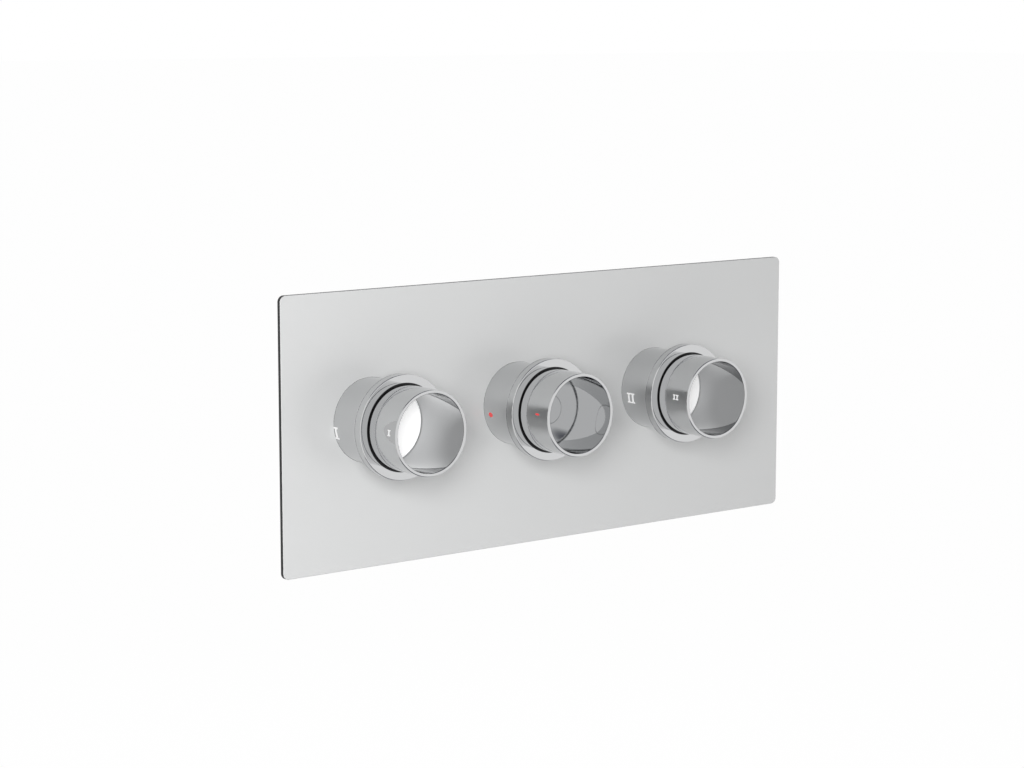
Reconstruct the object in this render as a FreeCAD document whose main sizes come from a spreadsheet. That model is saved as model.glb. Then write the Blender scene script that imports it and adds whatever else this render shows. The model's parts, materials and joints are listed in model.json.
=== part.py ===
import FreeCAD, Part
import math
import os
import Sketcher
from FreeCAD import Placement, Rotation, Vector

# Thermostatic shower valve with two flow controls and one temperature control.
# The origin is the centre of the cover plate's back face, on the finished wall. +X runs to the
# right along the plate, +Y into the wall and +Z up. Stations named "reach" are measured out of
# the wall, stations named "depth" into it. Sizes are in millimetres.

doc = FreeCAD.newDocument("ShowerValve")
sheet = doc.addObject("Spreadsheet::Sheet", "Sizes")


class Size:
    """A length as a number, with the sheet expression that gives it."""

    def __init__(self, value, text):
        self.value = value
        self.text = text

    def __add__(self, other):
        other = as_size(other)
        return Size(self.value + other.value, f"({self.text} + {other.text})")

    def __sub__(self, other):
        other = as_size(other)
        return Size(self.value - other.value, f"({self.text} - {other.text})")

    def __mul__(self, factor):
        return Size(self.value * factor, f"({self.text} * {factor})")

    def __truediv__(self, divisor):
        return Size(self.value / divisor, f"({self.text} / {divisor})")

    def __neg__(self):
        return Size(-self.value, f"(0 - {self.text})")


def as_size(value):
    return value if isinstance(value, Size) else Size(float(value), f"({float(value)})")


# cover plate
plate_width = 310
plate_height = 132
plate_thick = 2.25
plate_corner = 3
plate_edge = 0.4
plate_hole_clear = 0.15
seal_inset = 5
seal_width = 4
seal_depth = 1

# where the three controls stand
control_spacing = 86.9
control_offset = 19.3
control_rise = 4.4

# trim round each control
knob_radius = 20
knob_reach = 51.8
knob_tail_reach = 13
knob_rim_round = 0.5
groove_reach = 35.9
groove_width = 0.5
groove_cut = 0.35
sleeve_proud = 0.3
sleeve_wall = 0.8
sleeve_tail_depth = 7
skirt_clear = 0.4
skirt_wall = 0.75
collar_flange = 4.7
collar_back_reach = 25.6
collar_thick = 4.75
collar_lap = 2.2
collar_edge = 0.45
gap_width = 0.75
gap_recess = 0.9
bush_clear = 0.06
seat_fit = 0.03
end_clear = 0.5

# knob bottoms and their screws
carrier_reach = 18.25
carrier_web = 2.5
carrier_edge = 0.8
hub_reach = 27
hub_web = 5
hub_step_width = 1.2
hub_step_cut = 2
hub_recess_radius = 7
hub_recess_cut = 3.4
cap_thick = 1
cap_edge = 0.2
socket_radius = 7.5
socket_length = 9
screw_radius = 2
screw_head_radius = 3.6
screw_head_thick = 2.2
screw_key_radius = 1.5
screw_length = 12
screw_clear = 0.1

# spindles
spindle_radius = 4
spindle_clear = 0.06
ring_section = 0.55
ring_reach = 3
thrust_radius = 7.5
travel_radius = 7.6
tooth_width = 3
thrust_thick = 1.5
thrust_depth = 8.3
tang_width = 4
tang_length = 7
tang_height = 1.7

# quarter-turn ceramic sets
disc_radius = 8.4
disc_thick = 3
disc_front_depth = 11.6
disc_film = 0.05
disc_port_radius = 2.3
disc_port_throw = 4.6
seal_thick = 3
seal_bore = 6.3
bonnet_radius = 10.4
bonnet_wall = 1.7
bonnet_hex = 24
bonnet_hex_reach = 3
bonnet_neck_radius = 6.5
bonnet_neck_reach = 6
bonnet_window = 7

# thermostat
housing_radius = 12.5
housing_bore = 9.2
housing_wall = 1.8
housing_neck_radius = 8
housing_neck_reach = 8
housing_flange_radius = 16.6
housing_flange_thick = 3
housing_flange_depth = 4.5
housing_end_depth = 33.5
window_height = 4
window_width = 8
cold_depth = 16.5
front_ring_depth = 10
rear_ring_inset = 2.5
hot_inset = 5
housing_ring_section = 0.9
nut_radius = 17.4
nut_bore = 11.2
nut_reach = 1.5
stop_ring_radius = 12
stop_ring_thick = 3
stop_tab_radius = 16
lug_width = 3
lug_clear = 0.6
key_width = 2
key_reach = 9.75
screw_thread_radius = 3.4
screw_tip_depth = 9
pusher_radius = 8.8
pusher_front_depth = 4
pusher_back_depth = 11.2
pusher_bore_depth = 10
pusher_travel = 1.6
pin_radius = 1.5
pin_end_depth = 16
wax_radius = 4.5
wax_front_depth = 12.6
wax_back_depth = 28.6
shuttle_clear = 0.07
shuttle_lead = 0.25
shuttle_length = 6.8
shuttle_wall = 1.2
shuttle_web = 1.6
return_coil_radius = 7
return_wire_radius = 0.45
seat_thick = 3.9
seat_bore = 6

# manifold
boss_clear = 0.15
boss_front_depth = 2
boss_back_depth = 30
block_end = 15
body_depth = 45
body_half_height = 14
block_front_depth = 9
gallery_radius = 4.5
gallery_depth = 38
feed_radius = 4.5
port_wall = 3.2
flow_chamber_radius = 14
flow_chamber_front = 8.6
flow_chamber_back = 18
ring_groove_radius = 17
ring_groove_width = 5
mixing_radius = 8
thread_radius = 10.48
outlet_top = 50
outlet_thread_length = 14
outlet_drill_radius = 4.6
inlet_axis_depth = 20
inlet_bottom = 45
inlet_bore = 9.3
inlet_bore_top = 20
inlet_drill_radius = 6.5
plug_radius = 6
plug_length = 8
plug_key = 5

# inlet fittings
union_spigot = 5
union_hex = 24
union_hex_thick = 4
union_thread_length = 12
union_bore = 7
strainer_thick = 1
strainer_hole = 0.7
check_length = 17
check_wall = 1.8
check_seat_bore = 4.8
check_seat_thick = 2
check_guide_thick = 2
poppet_radius = 5.8
poppet_thick = 1.6
stem_radius = 1.4
check_coil_radius = 3.4
check_wire_radius = 0.35
small_gap = 0.1

# mounting bracket
bracket_width = 196
bracket_height = 96
bracket_thick = 2
fixing_spacing_x = 180
fixing_spacing_z = 80
fixing_radius = 2.75
bolt_radius = 2.5
bolt_rise = 9.5
bolt_length = 9
bolt_head_radius = 4.4
bolt_head_thick = 2.6

# each number named above goes into the sheet, and its name stands for that cell from here on
lengths = [(name, value) for name, value in globals().items() if isinstance(value, (int, float))]
for row, (name, value) in enumerate(lengths, 1):
    sheet.set(f"A{row}", name)
    sheet.set(f"B{row}", str(value))
    sheet.setAlias(f"B{row}", name)
    globals()[name] = Size(float(value), f"Sizes.{name}")
doc.recompute()

# stations that several pieces share
knob_bore = knob_radius + sleeve_proud - sleeve_wall - skirt_clear - skirt_wall
sleeve_radius = knob_radius + sleeve_proud
sleeve_bore = sleeve_radius - sleeve_wall
skirt_radius = sleeve_bore - skirt_clear
collar_bore = knob_radius + gap_width
collar_radius = knob_radius + collar_flange
collar_front_reach = collar_back_reach + collar_thick
sleeve_end_reach = collar_back_reach + collar_lap
boss_radius = sleeve_bore - boss_clear
disc_back_depth = disc_front_depth + disc_thick
fixed_disc_depth = disc_back_depth + disc_film
seal_front_depth = fixed_disc_depth + disc_thick
seal_back_depth = seal_front_depth + seal_thick
flow_bore = bonnet_radius + boss_clear
rear_ring_depth = housing_end_depth - rear_ring_inset
hot_depth = rear_ring_depth - hot_inset
middle_ring_depth = (hot_depth + cold_depth) / 2
shuttle_front_depth = middle_ring_depth - shuttle_length / 2 - shuttle_lead
seat_front_depth = housing_end_depth - seat_thick
outlet_axis_depth = sleeve_tail_depth + thread_radius + port_wall + end_clear
middle_x = -control_offset
left_x = middle_x - control_spacing
right_x = middle_x + control_spacing
hot_x = middle_x - control_spacing / 2
cold_x = middle_x + control_spacing / 2

# angles round a control, in degrees: the temperature stop blocks the lug on either side of
# STOP_MIDDLE, and the flow spindle's flange is cut away over TRAVEL_SECTOR
STOP_MIDDLE = 225
STOP_HALF = 36
TRAVEL_SECTOR = (-13, 45, 103)

OUTWARD = Rotation(Vector(1, 0, 0), 90)
UPWARD = Rotation()
RIGHTWARD = Rotation(Vector(0, 1, 0), 90)


def bind(owner, prop, size):
    """Tie one property to the sheet."""
    owner.setExpression(prop, as_size(size).text)


def place(owner, spot, rotation=OUTWARD):
    """Set where a piece stands and tie its place to the sheet."""
    spot = [as_size(value) for value in spot]
    owner.Placement = Placement(Vector(*[value.value for value in spot]), rotation)
    for axis, value in zip("xyz", spot):
        bind(owner, f"Placement.Base.{axis}", value)


def sketch_on(body, role, offset=None):
    """Attach a new sketch to one of the body's own origin planes."""
    sketch = body.newObject("Sketcher::SketchObject", f"{body.Label}_{role}")
    plane = [item for item in body.Origin.OriginFeatures if item.Role == role][0]
    sketch.AttachmentSupport = (plane, [""])
    sketch.MapMode = "FlatFace"
    if offset is not None:
        bind(sketch, "AttachmentOffset.Base.z", offset)
    return sketch


def fix_point(sketch, edge, corner, across, along):
    """Hold one end of an edge at a place given by two sizes."""
    for kind, axis, value in (("DistanceX", -2, across), ("DistanceY", -1, along)):
        if isinstance(value, (int, float)) and value == 0:
            sketch.addConstraint(Sketcher.Constraint("PointOnObject", edge, corner, axis))
            continue
        value = as_size(value)
        index = sketch.addConstraint(Sketcher.Constraint(kind, -1, 1, edge, corner, value.value))
        sketch.setExpression(f"Constraints[{index}]", value.text)


def add_outline(sketch, corners):
    """Draw a closed outline of straight edges through the corners."""
    first = sketch.GeometryCount
    count = len(corners)
    flat = [Vector(as_size(a).value, as_size(b).value, 0) for a, b in corners]
    for index in range(count):
        sketch.addGeometry(Part.LineSegment(flat[index], flat[(index + 1) % count]))
    for index in range(count):
        after = first + (index + 1) % count
        sketch.addConstraint(Sketcher.Constraint("Coincident", first + index, 2, after, 1))
    for index, (across, along) in enumerate(corners):
        fix_point(sketch, first + index, 1, across, along)


def add_circle(sketch, across, along, radius):
    """Draw a circle held by its centre and radius."""
    radius = as_size(radius)
    centre = Vector(as_size(across).value, as_size(along).value, 0)
    edge = sketch.addGeometry(Part.Circle(centre, Vector(0, 0, 1), radius.value))
    if across == 0 and along == 0:
        sketch.addConstraint(Sketcher.Constraint("Coincident", edge, 3, -1, 1))
    else:
        fix_point(sketch, edge, 3, across, along)
    index = sketch.addConstraint(Sketcher.Constraint("Radius", edge, radius.value))
    sketch.setExpression(f"Constraints[{index}]", radius.text)


def patch(across, low, high):
    """Corners of a rectangle of one width between two heights, centred on the upright axis."""
    return [(-across / 2, low), (across / 2, low), (across / 2, high), (-across / 2, high)]


def rectangle(width, height):
    """Corners of a rectangle centred on the origin."""
    return patch(width, -height / 2, height / 2)


def polar(radius, degrees):
    """A point given by its distance from the axis and its angle."""
    angle = math.radians(degrees)
    return (radius * round(math.cos(angle), 6), radius * round(math.sin(angle), 6))


def hexagon(across_flats):
    """Corners of a hexagon given by its spanner size."""
    reach = across_flats / 2
    slope = round(1 / math.sqrt(3), 6)
    return [(reach, -reach * slope), (reach, reach * slope), (0, reach * (2 * slope)),
            (-reach, reach * slope), (-reach, -reach * slope), (0, -reach * (2 * slope))]


def new_body(name):
    body = doc.addObject("PartDesign::Body", name)
    body.Label = name
    return body


def turn(body, corners):
    """Revolve an outline of (radius, station) corners about the body's own axis."""
    sketch = sketch_on(body, "XZ_Plane")
    add_outline(sketch, corners)
    feature = body.newObject("PartDesign::Revolution", f"{body.Label}_turned")
    feature.Profile = sketch
    feature.ReferenceAxis = (sketch, ["V_Axis"])
    feature.Angle = 360
    return feature


def ring_groove(body, radius, station, cut, width):
    """Turn a square groove into the outside of a round body."""
    sketch = sketch_on(body, "XZ_Plane")
    inner = radius - cut
    outer = radius + 1
    low = station - width / 2
    high = station + width / 2
    add_outline(sketch, [(inner, low), (outer, low), (outer, high), (inner, high)])
    feature = body.newObject("PartDesign::Groove", f"{body.Label}_groove")
    feature.Profile = sketch
    feature.ReferenceAxis = (sketch, ["V_Axis"])
    feature.Angle = 360
    return feature


def extrude(body, outlines, start, length, cut=False, role="XY_Plane", circles=()):
    """Pad outlines and circles upwards from a station, or pocket them downwards from it."""
    sketch = sketch_on(body, role, start)
    for corners in outlines:
        add_outline(sketch, corners)
    for circle in circles:
        add_circle(sketch, *circle)
    kind = "Pocket" if cut else "Pad"
    feature = body.newObject(f"PartDesign::{kind}", f"{body.Label}_{kind}")
    feature.Profile = sketch
    bind(feature, "Length", length)
    feature.Reversed = False
    return feature


def turned(name, corners, spot, rotation=OUTWARD):
    """A whole piece turned about its own axis."""
    body = new_body(name)
    turn(body, corners)
    place(body, spot, rotation)
    return body


def tube(name, outer, inner, start, end, spot, rotation=OUTWARD):
    """A plain turned ring between two stations."""
    corners = [(inner, start), (outer, start), (outer, end), (inner, end)]
    return turned(name, corners, spot, rotation)


def rod(name, radius, start, end, spot, rotation):
    """A plain cylinder between two stations along an axis, for drillings and bosses."""
    tool = doc.addObject("Part::Cylinder", name)
    bind(tool, "Radius", radius)
    bind(tool, "Height", as_size(end) - as_size(start))
    direction = rotation.multVec(Vector(0, 0, 1))
    shift = (direction.x, direction.y, direction.z)
    place(tool, [as_size(value) + as_size(start) * round(part) for value, part in zip(spot, shift)],
          rotation)
    return tool


def torus(name, radius, section, spot, rotation=OUTWARD):
    """A rubber ring of round section."""
    ring = doc.addObject("Part::Torus", name)
    ring.Label = name
    bind(ring, "Radius1", radius)
    bind(ring, "Radius2", section)
    place(ring, spot, rotation)
    return ring


def group(name, members):
    """One node that holds several separate solids."""
    whole = doc.addObject("Part::Compound", name)
    whole.Label = name
    whole.Links = members
    return whole


def combine(name, kind, members):
    whole = doc.addObject(kind, name)
    whole.Label = name
    whole.Shapes = members
    return whole


def cut_from(name, base, tools):
    """Cut a list of tools out of one base."""
    result = doc.addObject("Part::Cut", name)
    result.Label = name
    result.Base = base
    result.Tool = combine(f"{name}_tools", "Part::MultiFuse", tools)
    return result


def half_turn_arcs(points, tangents):
    """Join points on a curve by pairs of arcs that run on smoothly."""
    edges = []
    for index in range(len(points) - 1):
        start, end = points[index], points[index + 1]
        chord = end - start
        both = tangents[index] + tangents[index + 1]
        bend = 2 * (1 - tangents[index].dot(tangents[index + 1]))
        lean = chord.dot(both)
        handle = (math.sqrt(lean * lean + bend * chord.dot(chord)) - lean) / bend
        first = start + tangents[index] * handle
        second = end - tangents[index + 1] * handle
        joint = (first + second) * 0.5
        for a, corner, b in ((start, first, joint), (joint, second, end)):
            middle = (a + b) * 0.5
            height = (corner - middle).Length
            half = (b - a).Length / 2
            radius = half * (corner - a).Length / height
            rise = radius - math.sqrt(radius * radius - half * half)
            edges.append(Part.Arc(a, middle + (corner - middle) * (rise / height), b).toShape())
    return edges


def coil_spring(name, radius, wire, length, curls, spot, rotation):
    """A compression spring as one unbroken tube; its axis runs along the placement's Z."""
    steps = 4
    count = int(curls * steps)
    flat = math.pi / 2
    climb = (length.value - 2 * wire.value) / (count * flat)
    points = []
    tangents = []
    for index in range(count + 1):
        angle = index * flat
        points.append(Vector(radius.value * math.cos(angle), radius.value * math.sin(angle),
                             wire.value + climb * angle))
        heading = Vector(-radius.value * math.sin(angle), radius.value * math.cos(angle), climb)
        tangents.append(heading.normalize())
    path = Part.Wire(half_turn_arcs(points, tangents))
    section = Part.Wire(Part.Circle(points[0], tangents[0], wire.value).toShape())
    solid = path.makePipeShell([section], True, False)
    pitch = climb * 2 * math.pi
    print(f"{name}: {curls} curls, least gap to itself {pitch - 2 * wire.value:.2f} mm")
    spring = doc.addObject("Part::Feature", name)
    spring.Label = name
    spring.Shape = solid
    place(spring, spot, rotation)
    return spring


# ---- cover plate and its seals


def make_wall_plate():
    body = new_body("wall_plate")
    base = extrude(body, [rectangle(plate_width, plate_height)], 0, plate_thick)
    doc.recompute()
    uprights = [f"Edge{number + 1}" for number, edge in enumerate(base.Shape.Edges)
                if abs(edge.Vertexes[0].Z - edge.Vertexes[1].Z) > plate_thick.value / 2]
    corners = body.newObject("PartDesign::Fillet", "wall_plate_corners")
    corners.Base = (base, uprights)
    bind(corners, "Radius", plate_corner)
    doc.recompute()
    front = [f"Edge{number + 1}" for number, edge in enumerate(corners.Shape.Edges)
             if edge.BoundBox.ZMin > plate_thick.value / 2]
    edge_round = body.newObject("PartDesign::Fillet", "wall_plate_edge")
    edge_round.Base = (corners, front)
    bind(edge_round, "Radius", plate_edge)
    hole = sleeve_radius + plate_hole_clear
    holes = [(x, control_rise, hole) for x in (left_x, middle_x, right_x)]
    extrude(body, [], plate_thick, plate_thick, cut=True, circles=holes)
    outer = rectangle(plate_width - seal_inset * 2, plate_height - seal_inset * 2)
    inset = seal_inset + seal_width
    inner = rectangle(plate_width - inset * 2, plate_height - inset * 2)
    extrude(body, [outer, inner], seal_depth, seal_depth, cut=True)
    place(body, (0, 0, 0))


def make_plate_seals():
    body = new_body("plate_seal")
    side = seal_inset + small_gap
    inset = seal_inset + seal_width - small_gap
    outer = rectangle(plate_width - side * 2, plate_height - side * 2)
    inner = rectangle(plate_width - inset * 2, plate_height - inset * 2)
    extrude(body, [outer, inner], 0, seal_depth)
    place(body, (0, 0, 0))
    section = plate_thick / 3
    rings = [torus(f"plate_o_ring_{index}", sleeve_radius + section + small_gap, section,
                   (x, section + small_gap, control_rise))
             for index, x in enumerate((left_x, middle_x, right_x))]
    group("plate_o_rings", rings)


# ---- trim of one control: sleeve, collar, bush, knob tube


def make_trim(side, knob_name, x):
    spot = (x, 0, control_rise)
    tube(f"{side}_sleeve", sleeve_radius, sleeve_bore, -sleeve_tail_depth, sleeve_end_reach, spot)
    lap_bore = sleeve_radius + seat_fit
    turned(f"{side}_collar", [
        (lap_bore, collar_back_reach),
        (collar_radius - collar_edge, collar_back_reach),
        (collar_radius, collar_back_reach + collar_edge),
        (collar_radius, collar_front_reach - collar_edge),
        (collar_radius - collar_edge, collar_front_reach),
        (collar_bore, collar_front_reach),
        (collar_bore, sleeve_end_reach),
        (lap_bore, sleeve_end_reach),
    ], spot)
    bush_name = side.replace("_flow", "") + "_glide_bush"
    tube(bush_name, collar_bore - seat_fit, knob_radius + bush_clear,
         sleeve_end_reach, collar_front_reach - gap_recess, spot)
    shoulder_reach = sleeve_end_reach + end_clear
    body = turned(knob_name, [
        (knob_bore, knob_tail_reach),
        (skirt_radius, knob_tail_reach),
        (skirt_radius, shoulder_reach),
        (knob_radius, shoulder_reach),
        (knob_radius, knob_reach - knob_rim_round),
        (knob_radius - knob_rim_round, knob_reach),
        (knob_bore + knob_rim_round, knob_reach),
        (knob_bore, knob_reach - knob_rim_round),
    ], spot)
    ring_groove(body, knob_radius, groove_reach, groove_cut, groove_width)


# ---- knob bottoms, screws and spindles


def socket_corners(back):
    """Back of a knob bottom with the socket that grips the spindle, as (radius, station) corners."""
    grip = spindle_radius + seat_fit
    socket_back = back - socket_length
    return [(grip, back), (grip, socket_back), (socket_radius, socket_back), (socket_radius, back),
            (knob_bore - seat_fit, back)]


def make_carrier(name, x):
    """Disc that closes a flow knob's tube and is pushed onto the flow spindle."""
    back = carrier_reach - carrier_web
    rim = knob_bore - seat_fit
    corners = [(0, carrier_reach), (0, back)] + socket_corners(back)
    corners += [(rim, carrier_reach - carrier_edge), (rim - carrier_edge, carrier_reach)]
    turned(name, corners, (x, 0, control_rise))


def make_hub():
    """Bottom of the temperature knob, screwed to its spindle through a capped recess."""
    back = hub_reach - hub_web
    rim = knob_bore - seat_fit
    step = rim - hub_step_width
    hole = screw_radius + screw_clear
    corners = [(hole, hub_reach - hub_recess_cut), (hole, back)] + socket_corners(back)
    corners += [
        (rim, hub_reach - hub_step_cut), (step, hub_reach - hub_step_cut), (step, hub_reach),
        (hub_recess_radius, hub_reach), (hub_recess_radius, hub_reach - hub_recess_cut),
    ]
    hub = turned("temperature_knob_hub", corners, (middle_x, 0, control_rise))
    lug_end = nut_reach + small_gap + stop_ring_thick / 3
    lug = patch(lug_width, stop_ring_radius + lug_clear, stop_tab_radius - small_gap * 2)
    extrude(hub, [lug], lug_end, hub_reach - hub_web - lug_end)


def make_hub_cap():
    """Press-in cap that hides the screw in the middle of the temperature knob."""
    front = hub_reach - small_gap
    radius = hub_recess_radius - seat_fit
    turned("temperature_hub_cap", [
        (0, front - cap_thick), (radius, front - cap_thick), (radius, front - cap_edge),
        (radius - cap_edge, front), (0, front),
    ], (middle_x, 0, control_rise))


def make_knob_screw():
    seat_reach = hub_reach - hub_recess_cut
    head_reach = seat_reach + screw_head_thick
    corners = [
        (0, seat_reach - screw_length),
        (screw_radius, seat_reach - screw_length),
        (screw_radius, seat_reach),
        (screw_head_radius, seat_reach),
        (screw_head_radius, head_reach - screw_clear * 4),
        (screw_head_radius - screw_clear * 4, head_reach),
        (0, head_reach),
    ]
    body = turned("temperature_knob_screw", corners, (middle_x, 0, control_rise))
    extrude(body, [hexagon(screw_key_radius * 2)], head_reach, screw_head_thick / 2, cut=True)


def make_flow_spindle(name, x):
    tip = -(disc_front_depth - disc_film)
    thrust_back = -(thrust_depth + thrust_thick)
    flange_radius = bonnet_radius - bonnet_wall - small_gap * 3
    body = turned(name, [
        (0, tip), (spindle_radius, tip), (spindle_radius, thrust_back),
        (flange_radius, thrust_back), (flange_radius, -thrust_depth),
        (spindle_radius, -thrust_depth), (spindle_radius, carrier_reach - carrier_web),
        (0, carrier_reach - carrier_web),
    ], (x, 0, control_rise))
    sector = [polar(travel_radius, angle) for angle in TRAVEL_SECTOR]
    sector += [polar(bonnet_radius * 1.2, angle) for angle in reversed(TRAVEL_SECTOR)]
    extrude(body, [sector], -thrust_depth, thrust_thick, cut=True)
    ring_groove(body, spindle_radius, ring_reach, ring_section * 2, ring_section * 2.4)
    extrude(body, [rectangle(tang_length, tang_width)], tip - tang_height, tang_height)


def make_spindle_ring(name, x):
    torus(name, spindle_radius - ring_section, ring_section, (x, -ring_reach, control_rise))


# ---- quarter-turn ceramic set


def make_ceramic_set(side, x):
    spot = (x, 0, control_rise)
    moving = tube(f"{side}_moving_disc", disc_radius, 0, -disc_back_depth, -disc_front_depth, spot)
    slot = rectangle(tang_length + small_gap * 2, tang_width + small_gap * 2)
    extrude(moving, [slot], -disc_front_depth, tang_height + small_gap, cut=True)
    ports = [(0, disc_port_throw, disc_port_radius), (0, -disc_port_throw, disc_port_radius)]
    extrude(moving, [], -disc_front_depth, disc_thick, cut=True, circles=ports)
    fixed = tube(f"{side}_fixed_disc", disc_radius, 0, -seal_front_depth, -fixed_disc_depth, spot)
    ports = [(disc_port_throw, 0, disc_port_radius), (-disc_port_throw, 0, disc_port_radius)]
    extrude(fixed, [], -fixed_disc_depth, disc_thick, cut=True, circles=ports)
    tube(f"{side}_seat_seal", disc_radius, seal_bore + small_gap * 4,
         -seal_back_depth, -seal_front_depth, spot)
    barrel = bonnet_radius - bonnet_wall
    shaft_hole = spindle_radius + spindle_clear
    chamber = -(thrust_depth - disc_film)
    bonnet = turned(f"{side}_flow_bonnet", [
        (shaft_hole, chamber),
        (barrel, chamber),
        (barrel, -seal_back_depth + small_gap * 2),
        (bonnet_radius, -seal_back_depth + small_gap * 2),
        (bonnet_radius, -boss_front_depth),
        (bonnet_neck_radius, -boss_front_depth),
        (bonnet_neck_radius, bonnet_neck_reach),
        (shaft_hole, bonnet_neck_reach),
    ], spot)
    thrust_back = -(thrust_depth + thrust_thick)
    window = patch(bonnet_radius * 4, -disc_front_depth - disc_thick / 3, thrust_back)
    extrude(bonnet, [window], bonnet_window / 2, bonnet_window, cut=True, role="XZ_Plane")
    tooth = patch(tooth_width, travel_radius + small_gap * 3, barrel + small_gap * 3)
    extrude(bonnet, [tooth], thrust_back, thrust_thick + small_gap)
    extrude(bonnet, [hexagon(bonnet_hex)], -boss_front_depth,
            boss_front_depth + bonnet_hex_reach, circles=[(0, 0, bonnet_neck_radius - small_gap)])


# ---- thermostat


def make_thermostat():
    spot = (middle_x, 0, control_rise)
    shaft_hole = spindle_radius + spindle_clear
    flange_back = housing_flange_depth + housing_flange_thick
    chamber_front = -(pusher_front_depth - thrust_thick * 2)
    housing = turned("thermostat_housing", [
        (shaft_hole, chamber_front), (housing_bore, chamber_front),
        (housing_bore, -housing_end_depth), (housing_radius, -housing_end_depth),
        (housing_radius, -flange_back), (housing_flange_radius, -flange_back),
        (housing_flange_radius, -housing_flange_depth),
        (housing_bore + housing_wall, -housing_flange_depth),
        (housing_bore + housing_wall, nut_reach / 2), (housing_neck_radius, nut_reach / 2),
        (housing_neck_radius, housing_neck_reach), (shaft_hole, housing_neck_reach),
    ], spot)
    for depth in (front_ring_depth, middle_ring_depth, rear_ring_depth):
        ring_groove(housing, housing_radius, -depth,
                    housing_ring_section * 2, housing_ring_section * 2.3)
    for depth in (hot_depth, cold_depth):
        half = window_height / 2
        window = patch(housing_radius * 4, -depth - half, -depth + half)
        extrude(housing, [window], window_width / 2, window_width, cut=True, role="XZ_Plane")
    ring_centre = housing_radius + small_gap - seat_fit - housing_ring_section
    keyway = patch(key_width + small_gap * 2, housing_bore - 1, key_reach + small_gap * 2)
    extrude(housing, [keyway], chamber_front,
            pusher_back_depth + pusher_travel + chamber_front, cut=True)
    rings = [torus(f"thermostat_o_ring_{index}", ring_centre,
                   housing_ring_section, (middle_x, depth, control_rise))
             for index, depth in enumerate((front_ring_depth, middle_ring_depth, rear_ring_depth))]
    group("thermostat_o_rings", rings)

    nut = tube("thermostat_nut", nut_radius, nut_bore, -housing_flange_depth, nut_reach, spot)
    slot = rectangle(nut_radius * 3, tang_width)
    extrude(nut, [slot], nut_reach, tang_height, cut=True)

    stop = tube("temperature_stop_ring", stop_ring_radius, housing_neck_radius + seat_fit,
                nut_reach + small_gap, nut_reach + small_gap + stop_ring_thick, spot)
    tab = [polar(stop_ring_radius - 1, STOP_MIDDLE - STOP_HALF),
           polar(stop_tab_radius, STOP_MIDDLE - STOP_HALF),
           polar(stop_tab_radius, STOP_MIDDLE + STOP_HALF),
           polar(stop_ring_radius - 1, STOP_MIDDLE + STOP_HALF)]
    extrude(stop, [tab], nut_reach + small_gap, stop_ring_thick)

    thrust_front = chamber_front - disc_film
    spindle_end = hub_reach - hub_web
    tapped = screw_radius + seat_fit
    spindle = turned("temperature_spindle", [
        (0, -screw_tip_depth), (screw_thread_radius, -screw_tip_depth),
        (screw_thread_radius, thrust_front - thrust_thick),
        (thrust_radius, thrust_front - thrust_thick), (thrust_radius, thrust_front),
        (spindle_radius, thrust_front), (spindle_radius, spindle_end), (tapped, spindle_end),
        (tapped, spindle_end - screw_length), (0, spindle_end - screw_length),
    ], spot)
    ring_groove(spindle, spindle_radius, ring_reach, ring_section * 2, ring_section * 2.4)
    make_spindle_ring("temperature_spindle_o_ring", middle_x)

    nut_hole = screw_thread_radius + spindle_clear
    pusher = turned("temperature_pusher", [
        (0, -pin_end_depth), (pin_radius, -pin_end_depth), (pin_radius, -pusher_back_depth),
        (pusher_radius, -pusher_back_depth), (pusher_radius, -pusher_front_depth),
        (nut_hole, -pusher_front_depth), (nut_hole, -pusher_bore_depth), (0, -pusher_bore_depth),
    ], spot)
    key = patch(key_width, pusher_radius - 1, key_reach)
    extrude(pusher, [key], -pusher_back_depth, pusher_back_depth - pusher_front_depth)

    pin_hole = pin_radius + spindle_clear
    pin_floor = pin_end_depth + small_gap
    turned("wax_element", [
        (0, -wax_back_depth), (wax_radius - 1, -wax_back_depth), (wax_radius, -wax_back_depth + 1),
        (wax_radius, -wax_front_depth), (pin_hole, -wax_front_depth), (pin_hole, -pin_floor),
        (0, -pin_floor),
    ], spot)

    shuttle_radius = housing_bore - shuttle_clear
    shuttle_back = shuttle_front_depth + shuttle_length
    web_front = shuttle_front_depth + (shuttle_length - shuttle_web) / 2
    grip = wax_radius + seat_fit
    inner = shuttle_radius - shuttle_wall
    shuttle = turned("thermostat_shuttle", [
        (grip, -web_front - shuttle_web), (inner, -web_front - shuttle_web),
        (inner, -shuttle_back), (shuttle_radius, -shuttle_back),
        (shuttle_radius, -shuttle_front_depth), (inner, -shuttle_front_depth),
        (inner, -web_front), (grip, -web_front),
    ], spot)
    hole = (inner - grip) / 2 - small_gap * 3
    ring = (inner + grip) / 2
    holes = [(*polar(ring, 60 * step + 30), hole) for step in range(6)]
    extrude(shuttle, [], -web_front, shuttle_web, cut=True, circles=holes)

    coil_spring("return_spring", return_coil_radius, return_wire_radius,
                seat_front_depth - shuttle_front_depth - (shuttle_length + shuttle_web) / 2, 4,
                (middle_x, seat_front_depth, control_rise), OUTWARD)
    tube("spring_seat", housing_bore - seat_fit, seat_bore, -housing_end_depth, -seat_front_depth,
         spot)


# ---- manifold


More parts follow.
